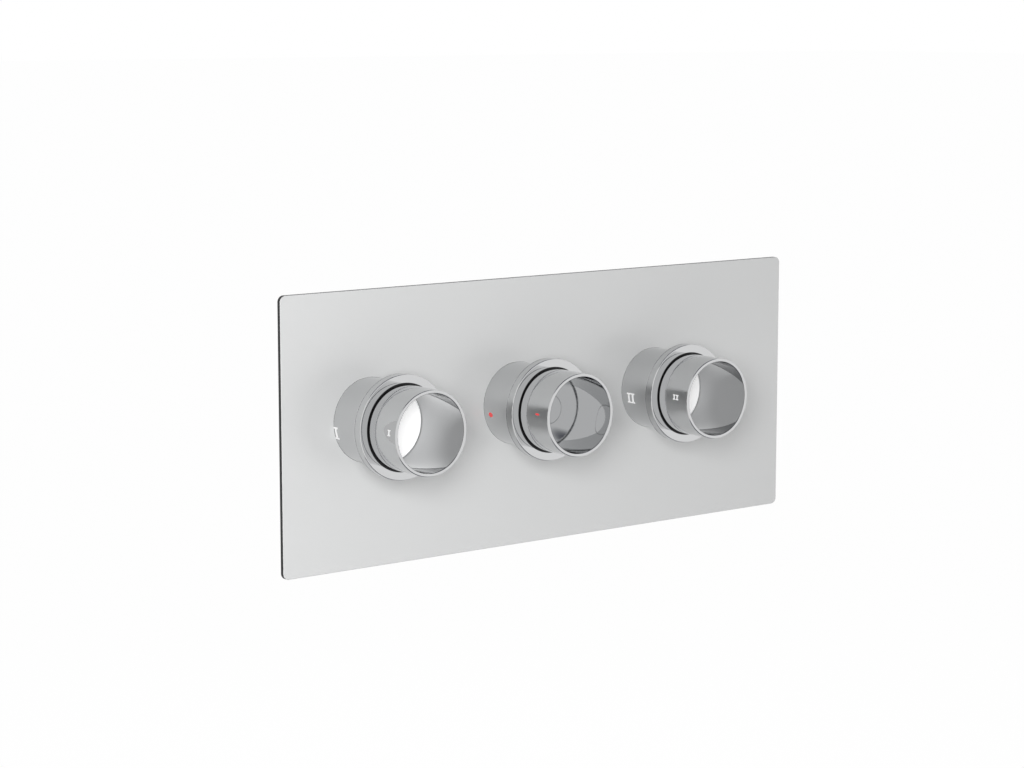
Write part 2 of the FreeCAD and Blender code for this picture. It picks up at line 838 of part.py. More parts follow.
def make_valve_body():
    """Cast manifold: three bosses, two outlets, two inlets and the drillings between them."""
    solids = []
    for index, x in enumerate((left_x, middle_x, right_x)):
        solids.append(rod(f"boss_{index}", boss_radius, -boss_back_depth, -boss_front_depth,
                          (x, 0, control_rise), OUTWARD))
    block = doc.addObject("Part::Box", "manifold_block")
    bind(block, "Length", (control_spacing + block_end) * 2)
    bind(block, "Width", body_depth - block_front_depth)
    bind(block, "Height", body_half_height * 2)
    place(block, (left_x - block_end, block_front_depth, control_rise - body_half_height), UPWARD)
    solids.append(block)
    port = thread_radius + port_wall
    for x in (left_x, right_x):
        solids.append(rod("outlet_tower", port, 0, outlet_top - control_rise,
                          (x, outlet_axis_depth, control_rise), UPWARD))
    for x in (hot_x, cold_x):
        solids.append(rod("inlet_tower", port, 0, inlet_bottom + control_rise,
                          (x, inlet_axis_depth, -inlet_bottom), UPWARD))

    holes = []
    for x in (left_x, right_x):
        spot = (x, 0, control_rise)
        holes.append(rod("bonnet_bore", flow_bore, -seal_back_depth, 0, spot, OUTWARD))
        holes.append(rod("outlet_chamber", flow_chamber_radius, -flow_chamber_back,
                         -flow_chamber_front, spot, OUTWARD))
        holes.append(rod("seat_hole", seal_bore, -gallery_depth, -seal_back_depth + 1, spot, OUTWARD))
        drill = (x, (flow_chamber_front + flow_chamber_back) / 2, control_rise)
        holes.append(rod("outlet_drilling", outlet_drill_radius, bonnet_radius,
                         outlet_top - control_rise - outlet_thread_length + 1, drill, UPWARD))
        holes.append(rod("outlet_thread", thread_radius, -outlet_thread_length, as_size(1),
                         (x, outlet_axis_depth, outlet_top), UPWARD))

    spot = (middle_x, 0, control_rise)
    flange_back = housing_flange_depth + housing_flange_thick
    holes.append(rod("nut_bore", nut_radius + small_gap, -flange_back, 0, spot, OUTWARD))
    holes.append(rod("housing_bore", housing_radius + small_gap, -housing_end_depth,
                     -flange_back + 1, spot, OUTWARD))
    holes.append(rod("mixing_chamber", mixing_radius, -(gallery_depth + gallery_radius),
                     -housing_end_depth + 1, spot, OUTWARD))
    for name, depth, x in (("hot", hot_depth, hot_x), ("cold", cold_depth, cold_x)):
        holes.append(rod(f"{name}_ring_groove", ring_groove_radius, -depth - ring_groove_width / 2,
                         -depth + ring_groove_width / 2, spot, OUTWARD))
        reach = control_spacing / 2 - housing_radius
        start = as_size(0) if name == "hot" else -reach
        holes.append(rod(f"{name}_feed", feed_radius, start, start + reach,
                         (x, depth, control_rise), RIGHTWARD))
        inlet = (x, inlet_axis_depth, -inlet_bottom)
        holes.append(rod(f"{name}_inlet_bore", inlet_bore, as_size(-1),
                         inlet_bottom - inlet_bore_top, inlet, UPWARD))
        holes.append(rod(f"{name}_inlet_drilling", inlet_drill_radius, as_size(0),
                         inlet_bottom + control_rise, inlet, UPWARD))
        for rise in (-bolt_rise, bolt_rise):
            holes.append(rod(f"{name}_bolt_hole", bolt_radius + seat_fit, -body_depth - 1,
                             -body_depth + bolt_length, (x, 0, control_rise + rise), OUTWARD))

    half = control_spacing + block_end
    gallery = (middle_x, gallery_depth, control_rise)
    holes.append(rod("mixed_gallery", gallery_radius, -half, half, gallery, RIGHTWARD))
    holes.append(rod("left_plug_bore", plug_radius, -half - 1, -half + plug_length, gallery,
                     RIGHTWARD))
    holes.append(rod("right_plug_bore", plug_radius, half - plug_length, half + 1, gallery,
                     RIGHTWARD))
    cut_from("valve_body", combine("valve_body_casting", "Part::MultiFuse", solids), holes)


def make_gallery_plugs():
    """Threaded plugs with a hexagon socket in both ends of the mixed gallery."""
    half = control_spacing + block_end
    plugs = []
    for name, sign in (("left_gallery_plug", -1), ("right_gallery_plug", 1)):
        plug = new_body(name)
        radius = plug_radius - seat_fit
        inner_end = half - plug_length + small_gap
        outer_end = half - small_gap * 2
        turn(plug, [(0, inner_end), (radius, inner_end), (radius, outer_end), (0, outer_end)])
        extrude(plug, [hexagon(plug_key)], outer_end, plug_length / 2, cut=True)
        place(plug, (middle_x, gallery_depth, control_rise), Rotation(Vector(0, 1, 0), 90 * sign))
        plugs.append(plug)
    group("gallery_plugs", plugs)


# ---- inlets: union, strainer and check valve; stations run up from the inlet's mouth


def make_inlet(name, x):
    spot = (x, inlet_axis_depth, -inlet_bottom)
    spigot_radius = inlet_bore - seat_fit
    thread_top = -union_hex_thick
    thread_end = thread_top - union_thread_length
    union = turned(f"{name}_inlet_union", [
        (union_bore, thread_end), (thread_radius - 1, thread_end), (thread_radius, thread_end + 1),
        (thread_radius, thread_top + 0.5), (spigot_radius, thread_top + 0.5),
        (spigot_radius, union_spigot), (union_bore, union_spigot),
    ], spot, UPWARD)
    extrude(union, [hexagon(union_hex)], thread_top, union_hex_thick, circles=[(0, 0, union_bore)])

    case_bottom = union_spigot + strainer_thick + small_gap * 2
    case_top = case_bottom + check_length
    inner = spigot_radius - check_wall
    guide = stem_radius + spindle_clear
    case = turned(f"{name}_check_case", [
        (check_seat_bore, case_bottom), (spigot_radius, case_bottom), (spigot_radius, case_top),
        (guide, case_top), (guide, case_top - check_guide_thick),
        (inner, case_top - check_guide_thick), (inner, case_bottom + check_seat_thick),
        (check_seat_bore, case_bottom + check_seat_thick),
    ], spot, UPWARD)
    ring = (inner + guide) / 2
    hole = (inner - guide) / 2 - small_gap * 5
    holes = [(*polar(ring, 90 * step + 45), hole) for step in range(4)]
    extrude(case, [], case_top, check_guide_thick, cut=True, circles=holes)

    seat = case_bottom + check_seat_thick + disc_film
    turned(f"{name}_check_poppet", [
        (0, seat), (poppet_radius, seat), (poppet_radius, seat + poppet_thick),
        (stem_radius, seat + poppet_thick), (stem_radius, case_top + small_gap * 3),
        (0, case_top + small_gap * 3),
    ], spot, UPWARD)
    spring_start = seat + poppet_thick + disc_film
    coil_spring(f"{name}_check_spring", check_coil_radius, check_wire_radius,
                case_top - check_guide_thick - spring_start - disc_film, 5,
                (x, inlet_axis_depth, spring_start - inlet_bottom), UPWARD)

    strainer = tube(f"{name}_strainer", spigot_radius, 0, union_spigot + small_gap,
                    union_spigot + small_gap + strainer_thick, spot, UPWARD)
    holes = [(0, 0, strainer_hole)]
    for row, count in ((1, 6), (2, 12)):
        radius = union_bore * (row / 2.6)
        holes += [(*polar(radius, 360 / count * step + 7), strainer_hole) for step in range(count)]
    extrude(strainer, [], union_spigot + small_gap + strainer_thick, strainer_thick, cut=True,
            circles=holes)


# ---- bracket behind the manifold


def make_bracket():
    body = new_body("mounting_bracket")
    sheet_outline = rectangle(bracket_width, bracket_height)
    holes = [(sign_x * 1.0, sign_z * 1.0) for sign_x in (-1, 1) for sign_z in (-1, 1)]
    circles = [(fixing_spacing_x / 2 * a, fixing_spacing_z / 2 * b, fixing_radius) for a, b in holes]
    circles += [(control_spacing / 2 * a, bolt_rise * b, bolt_radius + screw_clear)
                for a, b in holes]
    extrude(body, [sheet_outline], 0, bracket_thick, circles=circles)
    place(body, (middle_x, body_depth + bracket_thick, control_rise))

    bolts = []
    for x in (hot_x, cold_x):
        for rise in (-bolt_rise, bolt_rise):
            bolt = new_body(f"bracket_screw_{len(bolts)}")
            head = bolt_head_thick
            turn(bolt, [(0, 0), (bolt_head_radius, 0), (bolt_head_radius, head), (bolt_radius, head),
                        (bolt_radius, head + bracket_thick + bolt_length - 1),
                        (0, head + bracket_thick + bolt_length - 1)])
            extrude(bolt, [hexagon(bolt_radius * 1.4)], head / 2, head / 2, cut=True)
            bolt_depth = body_depth + bracket_thick + bolt_head_thick
            place(bolt, (x, bolt_depth, control_rise + rise))
            bolts.append(bolt)
    group("bracket_screws", bolts)


def make_all():
    make_wall_plate()
    make_plate_seals()
    make_trim("left_flow", "left_flow_knob", left_x)
    make_trim("temperature", "temperature_knob", middle_x)
    make_trim("right_flow", "right_flow_knob", right_x)
    for side, x in (("left", left_x), ("right", right_x)):
        make_carrier(f"{side}_knob_carrier", x)
        make_flow_spindle(f"{side}_flow_spindle", x)
        make_spindle_ring(f"{side}_spindle_o_ring", x)
        make_ceramic_set(side, x)
    make_hub()
    make_knob_screw()
    make_hub_cap()
    make_thermostat()
    make_valve_body()
    make_gallery_plugs()
    make_inlet("hot", hot_x)
    make_inlet("cold", cold_x)
    make_bracket()


def exported():
    """The top-level pieces: what no other shape of the model is made from."""
    used = set()
    for item in doc.Objects:
        for prop in ("Links", "Shapes"):
            if prop in item.PropertiesList:
                used.update(member.Name for member in getattr(item, prop))
        if item.TypeId == "Part::Cut":
            used.update((item.Base.Name, item.Tool.Name))
    kinds = ("PartDesign::Body", "Part::Compound", "Part::Cut", "Part::Torus", "Part::Feature")
    return [item for item in doc.Objects if item.TypeId in kinds and item.Name not in used]


make_all()
doc.recompute()
faults = [item.Name for item in doc.Objects if "Invalid" in item.State or "Error" in item.State]
for item in doc.Objects:
    if item.TypeId in ("PartDesign::Pocket", "PartDesign::Groove"):
        if item.Shape.Volume >= item.BaseFeature.Shape.Volume:
            faults.append(item.Name)
pieces = exported()
for piece in pieces:
    if piece.Shape.isNull() or not piece.Shape.isValid() or not piece.Shape.Solids:
        faults.append(piece.Name)
if faults:
    raise SystemExit("these objects failed: " + ", ".join(faults))
os.makedirs("parts", exist_ok=True)
for piece in pieces:
    piece.Shape.exportStep(os.path.join("parts", f"{piece.Label}.step"))
print(len(pieces), "nodes,", sum(len(piece.Shape.Solids) for piece in pieces), "solids")
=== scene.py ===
import bpy
import bmesh
import json
import math
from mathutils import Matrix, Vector


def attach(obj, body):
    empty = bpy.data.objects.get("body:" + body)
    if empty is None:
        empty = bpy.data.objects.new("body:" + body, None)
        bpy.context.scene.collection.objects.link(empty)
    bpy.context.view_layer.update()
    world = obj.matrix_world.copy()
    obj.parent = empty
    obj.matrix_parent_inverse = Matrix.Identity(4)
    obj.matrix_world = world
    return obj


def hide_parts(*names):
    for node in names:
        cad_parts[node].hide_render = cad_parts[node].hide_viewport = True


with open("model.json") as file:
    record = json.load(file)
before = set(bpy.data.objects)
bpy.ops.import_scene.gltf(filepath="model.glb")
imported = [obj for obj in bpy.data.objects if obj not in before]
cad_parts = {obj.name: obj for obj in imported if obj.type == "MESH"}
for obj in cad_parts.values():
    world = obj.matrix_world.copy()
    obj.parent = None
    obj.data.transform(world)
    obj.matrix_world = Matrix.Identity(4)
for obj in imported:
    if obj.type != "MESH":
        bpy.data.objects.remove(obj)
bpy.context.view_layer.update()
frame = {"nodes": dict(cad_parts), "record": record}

# Thermostatic shower valve. Sizes in the dictionaries are in millimetres unless a note says metres.
# "reach" is measured out of the wall, towards -Y, and the plate's back face is at reach 0.
mm = 0.001
rise = 4.4  # height of the three controls over the plate's centre
controls = {"left_flow": -106.2, "temperature": -19.3, "right_flow": 67.6}  # their axes along X
bodyOf = {"left_flow": "left_control", "temperature": "temperature_control", "right_flow": "right_control"}
slotOf = {row["node"]: row["material_slot"] for row in frame["record"]["subparts"]}
print("frame loaded:", len(frame["nodes"]), "nodes")


class Wire:  # one output of a node, so that maths can be written as an expression
    def __init__(self, finish, socket):
        self.finish = finish
        self.socket = socket

    def __add__(self, other):
        return self.finish.maths("ADD", self, other)

    def __mul__(self, other):
        return self.finish.maths("MULTIPLY", self, other)

    __radd__ = __add__
    __rmul__ = __mul__


class Finish:  # a node tree and the one way its nodes are made
    def __init__(self, tree):
        self.tree = tree

    def node(self, kind, settings=None, values=None, output=0):
        made = self.tree.nodes.new(kind)
        for name, value in (settings or {}).items():
            setattr(made, name, value)
        for socket, value in (values or {}).items():
            self.feed(made.inputs[socket], value)
        return Wire(self, made.outputs[output]) if made.outputs else None

    def feed(self, socket, value):
        if isinstance(value, Wire):
            self.tree.links.new(value.socket, socket)
        else:
            socket.default_value = value

    def maths(self, operation, first, second=0.0):
        return self.node("ShaderNodeMath", {"operation": operation}, {0: first, 1: second})

    def place(self, stretch=(1, 1, 1)):  # object coordinates
        coordinates = self.node("ShaderNodeTexCoord", output="Object")
        return self.node("ShaderNodeMapping", {"vector_type": "POINT"}, {
            "Vector": coordinates, "Scale": stretch})

    def noise(self, scale, detail=2.0, rough=0.5, stretch=(1, 1, 1)):
        return self.node("ShaderNodeTexNoise", None, {
            "Vector": self.place(stretch), "Scale": scale, "Detail": detail, "Roughness": rough})

    def mix(self, share, first, second):  # between two colours, whose sockets are 6 and 7
        return self.node("ShaderNodeMix", {"data_type": "RGBA"}, {0: share, 6: first, 7: second}, output=2)


def newFinish(name, settings):
    material = bpy.data.materials.new(name)
    material.use_nodes = True
    finish = Finish(material.node_tree)
    finish.material = material
    finish.shader = material.node_tree.nodes["Principled BSDF"]
    for socket, value in settings.items():
        finish.shader.inputs[socket].default_value = value
    return finish


def paint(finish, colour):
    finish.feed(finish.shader.inputs["Base Color"], colour)


def wear(finish, low, high, noise):  # roughness that wanders between two values
    finish.feed(finish.shader.inputs["Roughness"], noise * (high - low) + low)


def relief(finish, height, strength, distance):  # distance in metres
    bump = finish.node("ShaderNodeBump", None, {
        "Height": height, "Strength": strength, "Distance": distance})
    finish.feed(finish.shader.inputs["Normal"], bump)


def polishedChrome():
    finish = newFinish("polishedChrome", {"Base Color": (0.615, 0.62, 0.625, 1), "Metallic": 1.0})
    wear(finish, 0.02, 0.05, finish.noise(45, 3))  # faint wipe marks
    return finish.material


def shadedBoreChrome():  # painted shade: a darker copy of the chrome for inside the flow knobs, where shade falls
    finish = newFinish("shadedBoreChrome", {"Base Color": (0.41, 0.415, 0.42, 1), "Metallic": 1.0})
    wear(finish, 0.03, 0.07, finish.noise(60, 3))
    return finish.material


# the band of the plate's side face that is painted near black as shade
shadedPlateSide = {"front": -0.002, "back": -0.00005}  # in metres along Y, a little short of the back face


def satinChrome():
    finish = newFinish("satinChrome", {"Metallic": 0.2})
    depth = finish.node("ShaderNodeSeparateXYZ", None, {"Vector": finish.place()}, output="Y")
    behind = finish.maths("GREATER_THAN", depth, shadedPlateSide["front"])
    side = behind * finish.maths("LESS_THAN", depth, shadedPlateSide["back"])
    paint(finish, finish.mix(side, (0.62, 0.625, 0.625, 1), (0.015, 0.015, 0.016, 1)))  # painted shade: the plate's side face is painted near black for the shade on it
    wear(finish, 0.36, 0.42, finish.noise(30, 4))
    relief(finish, finish.noise(900, 2, stretch=(0.05, 1, 4)), 0.04, 0.00002)  # fine level grain
    return finish.material


def blackAcetal():
    finish = newFinish("blackAcetal", {"Base Color": (0.008, 0.008, 0.009, 1)})
    wear(finish, 0.45, 0.6, finish.noise(300))
    relief(finish, finish.noise(4000, 2), 0.1, 0.00002)
    return finish.material


def whiteAcetal():  # glows a little, so that it stays white deep inside the knobs
    finish = newFinish("whiteAcetal", {"Base Color": (0.95, 0.95, 0.95, 1), "Coat Weight": 0.1,
                                       "Emission Color": (1, 1, 1, 1), "Emission Strength": 0.45})
    wear(finish, 0.25, 0.4, finish.noise(200))
    relief(finish, finish.noise(2500, 3), 0.05, 0.00002)
    return finish.material


def stainless():
    finish = newFinish("stainless", {"Metallic": 1.0})
    grain = finish.noise(500, 4, stretch=(0.04, 1, 1))  # rolled sheet, grain along X
    paint(finish, finish.mix(grain, (0.50, 0.50, 0.51, 1), (0.62, 0.62, 0.62, 1)))
    wear(finish, 0.22, 0.4, grain)
    relief(finish, grain, 0.15, 0.00003)
    return finish.material


def castBrass():
    finish = newFinish("castBrass", {"Metallic": 1.0})
    cloud = finish.noise(35, 4, 0.6)
    grain = finish.noise(1400, 3, 0.6)
    paint(finish, finish.mix(cloud, (0.53, 0.39, 0.17, 1), (0.72, 0.57, 0.30, 1)))
    wear(finish, 0.38, 0.6, cloud)
    relief(finish, grain + cloud * 0.6, 0.5, 0.00012)  # sand-cast skin
    return finish.material


def turnedBrass():
    finish = newFinish("turnedBrass", {"Metallic": 1.0})
    cloud = finish.noise(60, 3)
    lines = finish.noise(2500, 1, stretch=(0.02, 0.02, 1))  # tool marks round an upright axis
    paint(finish, finish.mix(cloud, (0.68, 0.52, 0.24, 1), (0.78, 0.63, 0.34, 1)))
    wear(finish, 0.16, 0.3, cloud)
    relief(finish, lines, 0.2, 0.00003)
    return finish.material


def copper():
    finish = newFinish("copper", {"Metallic": 1.0})
    cloud = finish.noise(120, 3)
    paint(finish, finish.mix(cloud, (0.66, 0.36, 0.22, 1), (0.80, 0.50, 0.34, 1)))
    wear(finish, 0.2, 0.35, cloud)
    return finish.material


def sealRubber():
    finish = newFinish("sealRubber", {"Base Color": (0.018, 0.018, 0.019, 1)})
    wear(finish, 0.5, 0.75, finish.noise(150, 3))
    relief(finish, finish.noise(3000, 3), 0.2, 0.00003)
    return finish.material


def lappedCeramic():
    finish = newFinish("lappedCeramic", {"Base Color": (0.86, 0.85, 0.81, 1), "Coat Weight": 0.3})
    wear(finish, 0.1, 0.2, finish.noise(200))
    return finish.material


def greyPolymer():
    finish = newFinish("greyPolymer", {"Base Color": (0.32, 0.33, 0.34, 1)})
    wear(finish, 0.4, 0.55, finish.noise(200, 3))
    relief(finish, finish.noise(2500, 2), 0.1, 0.00002)
    return finish.material


def whiteFill():
    finish = newFinish("whiteFill", {"Base Color": (0.9, 0.9, 0.9, 1)})
    wear(finish, 0.35, 0.5, finish.noise(400))
    return finish.material


def redFill():
    finish = newFinish("redFill", {"Base Color": (0.80, 0.07, 0.07, 1)})
    wear(finish, 0.3, 0.45, finish.noise(400))
    return finish.material


finishes = {
    "satin_chrome": satinChrome(), "polished_chrome": polishedChrome(), "black_acetal": blackAcetal(),
    "white_acetal": whiteAcetal(), "stainless_steel": stainless(), "brass": turnedBrass(),
    "wax_capsule_copper": copper(), "seal_rubber": sealRubber(), "ceramic": lappedCeramic(),
    "grey_polymer": greyPolymer(),
}
chrome = finishes["polished_chrome"]
casting = castBrass()
shadedBoreFinish = shadedBoreChrome()
white = whiteFill()
red = redFill()
for nodeName, piece in frame["nodes"].items():
    for place in piece.material_slots:
        place.material = casting if nodeName == "valve_body" else finishes[slotOf[nodeName]]
print("finishes made")

# what the mesh makers share: sharp is in degrees, straight in radians, share is of an edge's length,
# and a ring whose radius is under point is a single vertex
shaping = {"sharp": 30, "straight": 0.01, "share": 0.45, "fillet": 0.08, "point": 0.001}


def newPiece(name, vertices, faces, material, normals=None):
    mesh = bpy.data.meshes.new(name)
    mesh.from_pydata([Vector(spot) * mm for spot in vertices], [], faces)
    for face in mesh.polygons:
        face.use_smooth = True
    if normals:
        mesh.normals_split_custom_set_from_vertices(normals)
    else:
        mesh.set_sharp_from_angle(angle=math.radians(shaping["sharp"]))
    mesh.materials.append(material)
    piece = bpy.data.objects.new(name, mesh)
    bpy.context.scene.collection.objects.link(piece)
    return piece


def keep(piece, body, *nodes):  # ride on a body, stand for its nodes and take their slot
    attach(piece, body)
    if nodes:
        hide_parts(*nodes)


def roundCorners(corners, closed, steps):
    # each corner is (radius, station, fillet, across flats); gives points with their own normals
    count = len(corners)
    area = sum(corners[i - 1][0] * corners[i][1] - corners[i][0] * corners[i - 1][1] for i in range(count))
    outward = 1 if area > 0 else -1
    profile = []
    for index, (radius, station, fillet, flats) in enumerate(corners):
        here = Vector((radius, station))
        runIn = here - Vector(corners[index - 1][:2])
        runOut = Vector(corners[(index + 1) % count][:2]) - here
        if not closed and index == 0:
            runIn = runOut
        if not closed and index == count - 1:
            runOut = runIn
        start = math.atan2(runIn.y, runIn.x)
        turn = (math.atan2(runOut.y, runOut.x) - start + math.pi) % (2 * math.pi) - math.pi
        if abs(turn) < shaping["straight"] or fillet == 0:
            bend = start + turn / 2
            profile.append((radius, station, outward * math.sin(bend), -outward * math.cos(bend), flats))
            continue
        slope = math.tan(abs(turn) / 2)
        trim = min(fillet * slope, shaping["share"] * runIn.length, shaping["share"] * runOut.length)
        size = trim / slope
        side = 1 if turn > 0 else -1
        first = here - runIn.normalized() * trim
        centre = first + side * size * Vector((-math.sin(start), math.cos(start)))
        for step in range(steps + 1):
            bend = start + turn * step / steps
            spot = centre - side * size * Vector((-math.sin(bend), math.cos(bend)))
            profile.append((spot.x, spot.y, outward * math.sin(bend), -outward * math.cos(bend), flats))
    return profile


def faceNormal(vertices, face):
    a, b, c = (Vector(vertices[index]) for index in face[:3])
    return (b - a).cross(c - a)


def lathe(name, corners, centre, material, upright=False, closed=True, turns=192, steps=5):
    # a corner may leave out its fillet and its width across flats
    corners = [corner + (shaping["fillet"], 0)[len(corner) - 2:] for corner in corners]
    profile = roundCorners(corners, closed, steps)
    hexagonal = any(point[4] for point in profile)
    vertices, normals, rings = [], [], []
    for radius, station, sideways, onward, flats in profile:
        ring = []
        for step in range(turns if radius > shaping["point"] else 1):
            angle = 2 * math.pi * step / turns
            across, along = math.cos(angle), math.sin(angle)
            size = radius
            if flats:
                lean = (angle + math.pi / 6) % (math.pi / 3) - math.pi / 6
                size = min(radius, flats / 2 / math.cos(lean))
            ring.append(len(vertices))
            if upright:
                vertices.append((centre[0] + size * across, centre[1] + size * along, centre[2] + station))
                normals.append((sideways * across, sideways * along, onward))
            else:
                vertices.append((centre[0] + size * across, centre[1] - station, centre[2] + size * along))
                normals.append((sideways * across, -onward, sideways * along))
        rings.append(ring)
    faces = []
    following = rings[1:] + rings[:1] if closed else rings[1:]
    for low, high in zip(rings, following):
        for step in range(turns):
            after = (step + 1) % turns
            quad = [low[step % len(low)], low[after % len(low)],
                    high[after % len(high)], high[step % len(high)]]
            faces.append(list(dict.fromkeys(quad)))
    # the largest face tells whether the faces have to be turned over
    largest = max(range(0, len(faces), turns), key=lambda i: faceNormal(vertices, faces[i]).length)
    if faceNormal(vertices, faces[largest]).dot(Vector(normals[faces[largest][0]])) < 0:
        faces = [face[::-1] for face in faces]
    return newPiece(name, vertices, faces, material, None if hexagonal else normals)


# "lip" is a thin ring on the sleeve, inside the plate's hole
sleeve = {"radius": 20.3, "bore": 19.5, "tail": -7, "tailEdge": 0.2, "end": 27.8, "endEdge": 0.1,
          "lip": 20.44, "lipLow": 0.4, "lipHigh": 2.2}
collar = {"radius": 24.7, "bore": 20.75, "boreEdge": 0.12, "lap": 20.33, "lapEdge": 0.1, "back": 25.6,
          "backEdge": 0.15, "front": 30.35, "frontEdge": 0.45, "step": 27.8,
          "line": 26.05, "lineWidth": 0.25, "lineCut": 0.2, "lineEdge": 0.04}
knob = {"radius": 20, "bore": 18.35, "skirt": 19.1, "tail": 13, "tailEdge": 0.2, "shoulder": 28.3,
        "shoulderEdge": 0.2, "end": 51.8, "endEdge": 0.5, "groove": 35.9, "grooveWidth": 0.5,
        "grooveCut": 0.35, "grooveEdge": 0.06, "boreSkin": 0.05}


def makeSleeve(side, spot):
    piece = lathe(side + "Sleeve", [
        (sleeve["bore"], sleeve["tail"]), (sleeve["radius"], sleeve["tail"], sleeve["tailEdge"]),
        (sleeve["radius"], sleeve["lipLow"]), (sleeve["lip"], sleeve["lipLow"]),
        (sleeve["lip"], sleeve["lipHigh"]), (sleeve["radius"], sleeve["lipHigh"]),
        (sleeve["radius"], sleeve["end"], sleeve["endEdge"]), (sleeve["bore"], sleeve["end"])], spot, chrome)
    keep(piece, "valve", side + "_sleeve")


def makeCollar(side, spot):
    floor = collar["radius"] - collar["lineCut"]
    low, high = collar["line"], collar["line"] + collar["lineWidth"]
    piece = lathe(side + "Collar", [
        (collar["lap"], collar["back"], collar["lapEdge"]),
        (collar["radius"], collar["back"], collar["backEdge"]),
        (collar["radius"], low, collar["lineEdge"]), (floor, low, collar["lineEdge"]),
        (floor, high, collar["lineEdge"]), (collar["radius"], high, collar["lineEdge"]),
        (collar["radius"], collar["front"], collar["frontEdge"]),
        (collar["bore"], collar["front"], collar["boreEdge"]),
        (collar["bore"], collar["step"]), (collar["lap"], collar["step"])], spot, chrome)
    keep(piece, "valve", side + "_collar")


def makeKnob(side, spot):
    floor = knob["radius"] - knob["grooveCut"]
    low = knob["groove"] - knob["grooveWidth"] / 2
    high = knob["groove"] + knob["grooveWidth"] / 2
    piece = lathe(side + "Knob", [
        (knob["bore"], knob["tail"]), (knob["skirt"], knob["tail"], knob["tailEdge"]),
        (knob["skirt"], knob["shoulder"]), (knob["radius"], knob["shoulder"], knob["shoulderEdge"]),
        (knob["radius"], low, knob["grooveEdge"]), (floor, low, knob["grooveEdge"]),
        (floor, high, knob["grooveEdge"]), (knob["radius"], high, knob["grooveEdge"]),
        (knob["radius"], knob["end"], knob["endEdge"]), (knob["bore"], knob["end"], knob["endEdge"])],
        spot, chrome)
    # the bore of each flow knob takes the chrome painted darker as shade
    if side != "temperature":
        piece.data.materials.append(shadedBoreFinish)
        for face in piece.data.polygons:
            across = Vector((face.center.x / mm - spot[0], face.center.z / mm - spot[2])).length
            face.material_index = int(across < knob["bore"] + knob["boreSkin"])
    keep(piece, bodyOf[side], side + "_knob")


for side, x in controls.items():
    makeSleeve(side, (x, 0, rise))
    makeCollar(side, (x, 0, rise))
    makeKnob(side, (x, 0, rise))
print("trim made")

carrier = {"rim": 18.32, "face": 18.25, "back": 15.75, "socketBack": 6.75, "socket": 7.5, "grip": 4.03,
           "edge": 0.8, "socketEdge": 0.3, "root": 0.8, "backEdge": 0.3, "turns": 144}
hub = {"bore": 2.1, "rim": 18.32, "face": 28.4, "brim": 26.7, "edge": 0.8, "back": 22, "socketBack": 13,
       "socket": 7.5, "grip": 4.03, "socketEdge": 0.3, "root": 0.8, "backEdge": 0.3, "recess": 7,
       "recessEdge": 0.1, "seat": 23.6}
cap = {"radius": 6.97, "back": 27.3, "backEdge": 0.1, "front": 28.3, "edge": 0.2}
lug = {"inner": 12.6, "outer": 15.8, "width": 3, "low": 2.6, "edge": 0.2}

for side in ("left", "right"):
    piece = lathe(side + "Carrier", [
        (0, carrier["back"], 0), (carrier["grip"], carrier["back"]),
        (carrier["grip"], carrier["socketBack"], carrier["socketEdge"]),
        (carrier["socket"], carrier["socketBack"], carrier["socketEdge"]),
        (carrier["socket"], carrier["back"], carrier["root"]),
        (carrier["rim"], carrier["back"], carrier["backEdge"]),
        (carrier["rim"], carrier["face"], carrier["edge"]), (0, carrier["face"], 0)],
        (controls[side + "_flow"], 0, rise), finishes["white_acetal"], closed=False, turns=carrier["turns"])
    keep(piece, side + "_control", side + "_knob_carrier")

hubSpot = (controls["temperature"], 0, rise)
hubPiece = lathe("temperatureHub", [
    (hub["recess"], hub["seat"]), (hub["bore"], hub["seat"]),
    (hub["bore"], hub["back"]), (hub["grip"], hub["back"]),
    (hub["grip"], hub["socketBack"], hub["socketEdge"]),
    (hub["socket"], hub["socketBack"], hub["socketEdge"]), (hub["socket"], hub["back"], hub["root"]),
    (hub["rim"], hub["back"], hub["backEdge"]), (hub["rim"], hub["brim"], hub["edge"]),
    (hub["recess"], hub["face"], hub["recessEdge"])], hubSpot, chrome)
lugSpots = []
for reach in (lug["low"], hub["back"]):
    for across, height in ((-1, lug["inner"]), (1, lug["inner"]), (1, lug["outer"]), (-1, lug["outer"])):
        lugSpots.append((hubSpot[0] + across * lug["width"] / 2, -reach, rise + height))
lugFaces = [(0, 1, 2, 3), (7, 6, 5, 4), (0, 4, 5, 1), (1, 5, 6, 2), (2, 6, 7, 3), (3, 7, 4, 0)]
lugPiece = newPiece("temperatureHubLug", lugSpots, lugFaces, chrome)
bevel = lugPiece.modifiers.new("edges", "BEVEL")
bevel.width = lug["edge"] * mm
bevel.segments = 2
keep(hubPiece, "temperature_control", "temperature_knob_hub")
keep(lugPiece, "temperature_control", "temperature_knob_hub")
capPiece = lathe("temperatureHubCap", [
    (0, cap["back"], 0), (cap["radius"], cap["back"], cap["backEdge"]),
    (cap["radius"], cap["front"], cap["edge"]), (0, cap["front"], 0)], hubSpot, chrome, closed=False)
keep(capPiece, "temperature_control", "temperature_hub_cap")
print("knob bottoms made")

# marks let into the sleeves and the knobs; "cuts" is how many strips one is cut in to follow the curve
marks = {"proud": 0.02, "sunk": 0.1, "cuts": 8, "weld": 0.0001, "taper": 0.25}


